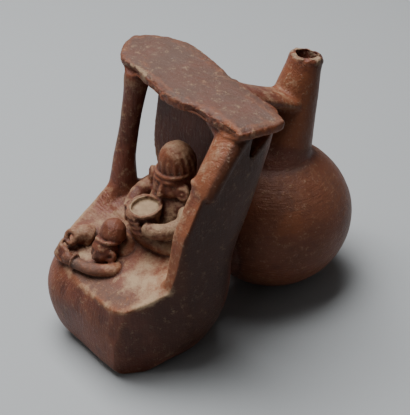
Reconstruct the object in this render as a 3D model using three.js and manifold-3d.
// Double-chambered spout vessel of burnished clay: a roofed room with two figures stands on the
// front chamber, a round chamber behind it carries the leaning spout, and a strap ties spout to roof.
// Millimetres, +Z up. Layout frame: the vessel faces -Y, X = 0 is its long axis, Y = 0 is the middle of
// the round chamber and Z = 0 is the table. The finished solid is moved to the middle of its own base.
import * as THREE from "three";
import { mergeVertices } from "three/addons/utils/BufferGeometryUtils.js";
import { ParametricGeometry } from "three/addons/geometries/ParametricGeometry.js";
import Module from "manifold-3d";

const wasm = await Module();
wasm.setup();

// Round chamber
const GLOBE_RADIUS = 48;
const GLOBE_HALF_HEIGHT = 45.5;
const GLOBE_CENTRE_Z = 44.5;
const GLOBE_WALL = 5;

// Spout, measured along its own leaning axis from its foot
const SPOUT_FOOT = new THREE.Vector3(0, 5, 90);
const SPOUT_LEAN = THREE.MathUtils.degToRad(18);
const SPOUT_LENGTH = 55.5;
const SPOUT_FOOT_RADIUS = 17;
const SPOUT_FLARE_RADIUS = 24;
const SPOUT_RIM_RADIUS = 9.6;
const SPOUT_WALL = 3;
const NECK = { y: 13, radius: 8, low: 66, high: 98 };

// Front chamber, with the walls of the room rising out of it
const ROOM_CENTRE_Y = -92;
const ROOM_HALF_WIDTH = 47;
const ROOM_FRONT_DEPTH = 49;
const FRONT_BULGE_Z = 31;
const LEFT_BULGE = 5.5;
const LEFT_JAMB = 3;
const ROOM_BACK_DEPTH = 45;
const ROOM_WIDEST_Z = 45;
const ROOM_TOP_Z = 145;
const WALL_LEAN = 14;
const CHAMBER_WALL = 6;
const FACET_NORMAL = new THREE.Vector2(0.795, -0.606);
const FACET_DISTANCE = 46;
const DECK_FRONT = { y: -131, z: 49 };
const DECK_SLOPE = 0.38;
const BACK_FACE = [[-62, 60], [-55, 78], [-51, 96], [-47.5, 117], [-42, 143], [-40, 152]];
const PARAPET_EDGE = [[-110, 50], [-110, 58], [-103.5, 93], [-86, 123], [-66, 143], [-58, 152]];
const PARAPET_INNER_X = 36;
const WINDOW = [[-58.5, 126], [-41, 138], [-47, 141.5], [-55.5, 141.5]];

// Passage between the chambers
const PASSAGE = { z: 38, bore: 8, collar: 20, front: -72, back: -30 };

// Roof, post, bracket and strap
const ROOF_TOP_Z = 148.5;
const ROOF_THICKNESS = 7;
const ROOF_OUTLINE = [
  [50, -69], [54, -42], [6, -34], [-25, -30], [-44, -28.5], [-58, -33], [-67, -40], [-72, -48],
  [-70, -56.5], [-53, -69.5], [-32, -71], [-4, -75], [13, -71.5], [34, -70],
];
const POST_LINE = [[-46, -78, 62], [-45, -75.5, 85], [-45, -72, 102], [-45, -67.5, 122], [-45, -63, 142]];
const POST_RADIUS = 5.9;
const SWEEP_LINE = [[-44, -74, 84], [-45, -86, 70], [-43, -104, 58]];
const BRACKET_LINE = [[41.5, -88, 113], [40.5, -81.5, 121.5], [39, -74, 131], [35, -66, 139]];
const STRAP = { width: 24, thickness: 7.5, roofEnd: [0, -44, 145], spoutEnd: [0, 4, 118] };

// Turns a closed three.js geometry into a solid, with coincident corners joined and empty triangles dropped
function solid(geometry) {
  const bare = geometry.clone();
  bare.deleteAttribute("normal");
  bare.deleteAttribute("uv");
  const merged = mergeVertices(bare, 1e-4);
  const corners = merged.index.array;
  const kept = [];
  for (let i = 0; i < corners.length; i += 3) {
    const [a, b, c] = [corners[i], corners[i + 1], corners[i + 2]];
    if (a !== b && b !== c && c !== a) {
      kept.push(a, b, c);
    }
  }
  const vertProperties = new Float32Array(merged.attributes.position.array);
  const shape = new wasm.Mesh({ numProp: 3, vertProperties, triVerts: new Uint32Array(kept) });
  return new wasm.Manifold(shape);
}

// Solid of revolution about Z from [radius, height] pairs
function turned(profile, sides) {
  const points = profile.map(([radius, height]) => new THREE.Vector2(radius, height));
  return new THREE.LatheGeometry(points, sides).rotateX(Math.PI / 2);
}

// Ellipsoid at a place, with an optional tilt about X
function blob(centre, radii, tilt = 0, sides = 10, rings = 7) {
  const ball = new THREE.SphereGeometry(1, sides, rings).rotateX(Math.PI / 2);
  return solid(ball.scale(...radii).rotateX(tilt).translate(...centre));
}

// Tapering limb along a smooth line through points, closed by a round end at each side
function limb(points, radiusAt, sides = 14, steps = 18) {
  const line = new THREE.CatmullRomCurve3(points.map((p) => new THREE.Vector3(...p)));
  const frames = line.computeFrenetFrames(steps);
  const surface = (u, v, target) => {
    const step = Math.round(v * steps);
    const turn = 2 * Math.PI * u;
    const cap = Math.sqrt(Math.min(1, 6 * Math.min(v, 1 - v)));
    const radius = radiusAt(v) * cap;
    line.getPointAt(v, target);
    target.addScaledVector(frames.normals[step], radius * Math.cos(turn));
    target.addScaledVector(frames.binormals[step], radius * Math.sin(turn));
  };
  return solid(new ParametricGeometry(surface, sides, steps));
}

// Prism across X from an outline of [y, z] pairs
function acrossX(outline, fromX, toX) {
  const shape = new THREE.Shape(outline.map(([y, z]) => new THREE.Vector2(y, z)));
  const prism = new THREE.ExtrudeGeometry(shape, { depth: toX - fromX, bevelEnabled: false });
  const yzx = new THREE.Matrix4().set(0, 0, 1, fromX, 1, 0, 0, 0, 0, 1, 0, 0, 0, 0, 0, 1);
  return solid(prism.applyMatrix4(yzx));
}

function deckZ(y) {
  return DECK_FRONT.z + DECK_SLOPE * (y - DECK_FRONT.y);
}

// Front chamber and walls: superellipse sections that widen from the foot, lean back and square up
function roomSection(z, inset) {
  const below = Math.max(0, ROOM_WIDEST_Z - z) / ROOM_WIDEST_Z;
  const above = Math.max(0, z - ROOM_WIDEST_Z) / (ROOM_TOP_Z - ROOM_WIDEST_Z);
  const fromBulge = (z - FRONT_BULGE_Z) / (z > FRONT_BULGE_Z ? 19 : FRONT_BULGE_Z);
  const bulgeDrop = (z > FRONT_BULGE_Z ? 6 : 11) * Math.min(1.6, fromBulge ** 2);
  return {
    halfWidth: ROOM_HALF_WIDTH * Math.sqrt(1 - (0.78 * below) ** 2) - inset,
    leftBulge: LEFT_BULGE * Math.exp(-(((z - 38) / 17) ** 2)),
    leftJamb: LEFT_JAMB * Math.min(1, 4 * above),
    front: ROOM_FRONT_DEPTH - bulgeDrop - inset,
    back: ROOM_BACK_DEPTH * Math.sqrt(1 - (0.9 * below) ** 2) + WALL_LEAN * above ** 1.3 - inset,
    backPower: 2.1 + 7.7 * above ** 2.2,
    frontPower: 3 + 3 * below ** 2,
    facet: FACET_DISTANCE - 5 * below ** 2 - inset,
  };
}

function roomSolid(bottomZ, topZ, inset, sides, steps) {
  const cap = 1 / steps;
  const surface = (u, v, target) => {
    const levels = THREE.MathUtils.clamp((v - cap) / (1 - 2 * cap), 0, 1);
    const fill = Math.min(1, v / cap, (1 - v) / cap);
    const z = bottomZ + (topZ - bottomZ) * levels;
    const section = roomSection(z, inset);
    const angle = 2 * Math.PI * (u % 1);
    const c = Math.cos(angle);
    const s = Math.sin(angle);
    const power = s > 0 ? section.backPower : section.frontPower;
    const depth = s > 0 ? section.back : section.front;
    const forward = THREE.MathUtils.clamp(-2 * s, 0, 1);
    const leftward = THREE.MathUtils.clamp(-2 * c, 0, 1);
    const swell = THREE.MathUtils.lerp(section.leftJamb, section.leftBulge, forward);
    const width = section.halfWidth + leftward * swell;
    const point = new THREE.Vector2(
      width * Math.sign(c) * Math.abs(c) ** (2 / power),
      depth * Math.sign(s) * Math.abs(s) ** (2 / power),
    );
    const reach = point.dot(FACET_NORMAL);
    point.multiplyScalar(fill * Math.min(1, section.facet / Math.max(reach, 1)));
    target.set(point.x, ROOM_CENTRE_Y + point.y, z);
  };
  return solid(new ParametricGeometry(surface, sides, steps));
}

// The open room: everything above the deck, before the back wall and inside or before the parapet
function openRoom() {
  const front = -160;
  const above = 170;
  const deckBack = [BACK_FACE[1][0], deckZ(BACK_FACE[1][0])];
  const floorLine = [[front, deckZ(front)], deckBack];
  const inside = acrossX([...floorLine, ...BACK_FACE.slice(2), [BACK_FACE[5][0], above], [front, above]],
    -100, PARAPET_INNER_X);
  const corner = [PARAPET_EDGE[0][0], deckZ(PARAPET_EDGE[0][0])];
  const before = acrossX([[front, deckZ(front)], corner, ...PARAPET_EDGE.slice(1),
    [PARAPET_EDGE[5][0], above], [front, above]], -100, 100);
  return inside.add(before);
}

function windowCut() {
  return acrossX(WINDOW, 20, 70);
}

function globeProfile(inset, steps) {
  const profile = [];
  for (let i = 0; i <= steps; i++) {
    const angle = Math.PI * (i / steps - 0.5);
    const height = GLOBE_CENTRE_Z + (GLOBE_HALF_HEIGHT - inset) * Math.sin(angle);
    const shoulder = angle > 0 ? 1.12 : 1;
    const radius = (GLOBE_RADIUS - inset) * Math.max(0, Math.cos(angle)) ** shoulder;
    profile.push([radius, Math.max(inset, height)]);
  }
  profile[0][0] = 0;
  profile[steps][0] = 0;
  return profile;
}

function onSpout(profile, sides) {
  const lathe = turned(profile, sides).rotateX(-SPOUT_LEAN);
  return solid(lathe.translate(SPOUT_FOOT.x, SPOUT_FOOT.y, SPOUT_FOOT.z));
}

function spoutSolid() {
  return onSpout([
    [0, -14], [SPOUT_FLARE_RADIUS, -14], [SPOUT_FLARE_RADIUS, -7], [SPOUT_FOOT_RADIUS + 2, 0],
    [SPOUT_FOOT_RADIUS, 6], [SPOUT_FOOT_RADIUS - 2.6, SPOUT_LENGTH * 0.4],
    [SPOUT_RIM_RADIUS + 0.6, SPOUT_LENGTH * 0.85], [SPOUT_RIM_RADIUS, SPOUT_LENGTH], [0, SPOUT_LENGTH],
  ], 28);
}

function spoutBore() {
  const rim = SPOUT_RIM_RADIUS - SPOUT_WALL;
  const foot = SPOUT_FOOT_RADIUS - SPOUT_WALL;
  const past = SPOUT_LENGTH + 6;
  return onSpout([[0, -20], [foot, -20], [foot, 4], [rim, SPOUT_LENGTH * 0.8], [rim, past], [0, past]], 20);
}

// Upright opening from the top of the globe into the spout
function neck() {
  const rod = new THREE.CylinderGeometry(NECK.radius, NECK.radius, NECK.high - NECK.low, 20);
  return solid(rod.rotateX(Math.PI / 2).translate(0, NECK.y, (NECK.low + NECK.high) / 2));
}

function passage(radius, front, back) {
  const rod = new THREE.CylinderGeometry(radius, radius, back - front, 24);
  return solid(rod.translate(0, (front + back) / 2, PASSAGE.z));
}

function roof() {
  const corners = ROOF_OUTLINE.map(([x, y]) => new THREE.Vector3(x, y, 0));
  const rim = new THREE.CatmullRomCurve3(corners, true, "catmullrom", 0.25);
  const shape = new THREE.Shape(rim.getPoints(42).slice(0, 42).map((p) => new THREE.Vector2(p.x, p.y)));
  const slab = new THREE.ExtrudeGeometry(shape, { depth: ROOF_THICKNESS, bevelEnabled: false });
  return solid(slab.translate(0, 0, ROOF_TOP_Z - ROOF_THICKNESS));
}

function strap() {
  const section = new THREE.Shape();
  section.absellipse(0, 0, STRAP.width / 2, STRAP.thickness / 2, 0, 2 * Math.PI, false, 0);
  const line = new THREE.LineCurve3(
    new THREE.Vector3(...STRAP.roofEnd),
    new THREE.Vector3(...STRAP.spoutEnd),
  );
  return solid(new THREE.ExtrudeGeometry(section, { steps: 6, extrudePath: line, curveSegments: 10 }));
}

// Ring-shaped ear ornament or jar mouth lying in a plane that looks along `facing`
function ring(centre, radius, thickness, facing) {
  const hoop = new THREE.TorusGeometry(radius, thickness, 5, 12);
  const turn = new THREE.Quaternion().setFromUnitVectors(
    new THREE.Vector3(0, 0, 1),
    new THREE.Vector3(...facing).normalize(),
  );
  return solid(hoop.applyQuaternion(turn).translate(...centre));
}

function bowl(centre, rimRadius, height, tilt) {
  const cup = turned([
    [0, -height], [rimRadius * 0.7, -height], [rimRadius, 0], [rimRadius - 1.6, 0],
    [rimRadius * 0.5, 2 - height], [0, 1.6 - height],
  ], 28);
  return solid(cup.rotateX(tilt).translate(...centre));
}

// Seated figure under the roof: robe, crossed legs, capped head with ear discs, both hands round a bowl
function seatedFigure() {
  const pieces = [
    blob([0, -77, 74], [16, 12, 20]),
    blob([0, -75, 85], [18.5, 9, 7.5]),
    blob([0, -87, 66], [18, 12, 8]),
    blob([0, -72, 97], [10.5, 10, 13], 0.1, 14, 9),
    blob([0, -68.5, 105], [11.5, 11.5, 12.5], 0.1, 14, 9),
    blob([0, -82.2, 96.5], [2, 2.6, 3.6], 0.2, 8, 6),
    bowl([0, -93, 86.5], 10.2, 8, 0.16),
    blob([0, -91, 79], [8, 8, 5]),
  ];
  for (const side of [-1, 1]) {
    pieces.push(ring([side * 12, -76, 97], 2.8, 1.5, [side * 0.35, -1, 0.1]));
    pieces.push(blob([side * 11, -73.5, 97], [3, 2.5, 3], 0, 8, 6));
    const arm = [[side * 16, -75, 87], [side * 19, -81, 78], [side * 13, -90, 75], [side * 4, -98, 76]];
    pieces.push(limb(arm, (v) => 5.4 - 1.6 * v, 10, 10));
    pieces.push(blob([side * 5, -99, 78], [5, 2.6, 3.6], 0, 8, 6));
  }
  return pieces;
}

// Smaller figure at the left front corner: capped head, ear disc, a bent arm on the edge and a small jar
function smallFigure() {
  return [
    blob([-9.5, -111.5, 61.5], [7.4, 7.2, 8.6], 0.3, 14, 9),
    limb([[-9.3, -110.5, 63], [-10.2, -108, 69], [-11.6, -104.5, 76]], (v) => 8.2 - 3 * v * v, 12, 8),
    blob([-8.8, -118.3, 61], [1.6, 2, 2.8], 0.3, 8, 6),
    ring([-2.8, -114.4, 60.5], 2.4, 1.4, [0.6, -0.8, 0.2]),
    blob([-4.6, -112.2, 60.5], [2.6, 2.2, 2.6], 0, 8, 6),
    blob([-11, -104, 56], [13, 9, 9]),
    limb([[0, -111, 54], [2.5, -117, 56], [-7, -125, 55], [-22, -129, 53.5]], (v) => 4.4 - 1 * v, 10, 10),
    blob([-28, -128.5, 53.5], [7.5, 3, 3.4], 0, 8, 6),
    blob([-31, -115.5, 57.5], [6, 6.5, 6.5], 0, 12, 8),
    ring([-32.4, -121.7, 59.6], 3.6, 1.8, [0.2, -0.85, 0.45]),
  ];
}

function vessel() {
  const skirt = roomSolid(0, ROOM_TOP_Z, 0, 48, 16).subtract(openRoom()).subtract(windowCut());
  const post = limb(POST_LINE, (v) => POST_RADIUS + 5 * (1 - v) ** 6 + 5 * v ** 4, 12, 14);
  const bracket = limb(BRACKET_LINE, (v) => 5.2 + 3 * v * v, 10, 10);
  const sweep = limb(SWEEP_LINE, (v) => 5.6 - 2 * v, 10, 8);
  const globe = solid(turned(globeProfile(0, 16), 32));
  const added = [
    post, sweep, bracket, globe, spoutSolid(), roof(), strap(),
    passage(PASSAGE.collar, PASSAGE.front, PASSAGE.back),
    ...seatedFigure(), ...smallFigure(),
  ];
  const outside = added.reduce((whole, piece) => whole.add(piece), skirt);

  const underDeck = acrossX([
    [-200, deckZ(-200) - CHAMBER_WALL], [0, deckZ(0) - CHAMBER_WALL], [0, 300], [-200, 300],
  ], -100, 100);
  const frontHollow = roomSolid(CHAMBER_WALL, 90, CHAMBER_WALL, 28, 9).subtract(underDeck);
  const globeHollow = solid(turned(globeProfile(GLOBE_WALL, 10), 28));
  const bore = spoutBore().add(neck());
  const way = passage(PASSAGE.bore, PASSAGE.front, PASSAGE.back);
  return outside.subtract(frontHollow).subtract(globeHollow).subtract(bore).subtract(way);
}

function meshOf(body) {
  const { vertProperties, triVerts } = body.getMesh();
  const geometry = new THREE.BufferGeometry();
  geometry.setAttribute("position", new THREE.BufferAttribute(vertProperties, 3));
  geometry.setIndex(new THREE.BufferAttribute(triVerts, 1));
  geometry.computeBoundingBox();
  const middle = geometry.boundingBox.getCenter(new THREE.Vector3());
  geometry.translate(-middle.x, -middle.y, -geometry.boundingBox.min.z);
  geometry.computeVertexNormals();
  return geometry;
}

const clay = new THREE.MeshStandardMaterial({ color: 0x5a2f22, roughness: 0.55, metalness: 0 });
const mesh = new THREE.Mesh(meshOf(vessel()), clay);
mesh.name = "vessel";

const group = new THREE.Group();
group.add(mesh);
export default group;
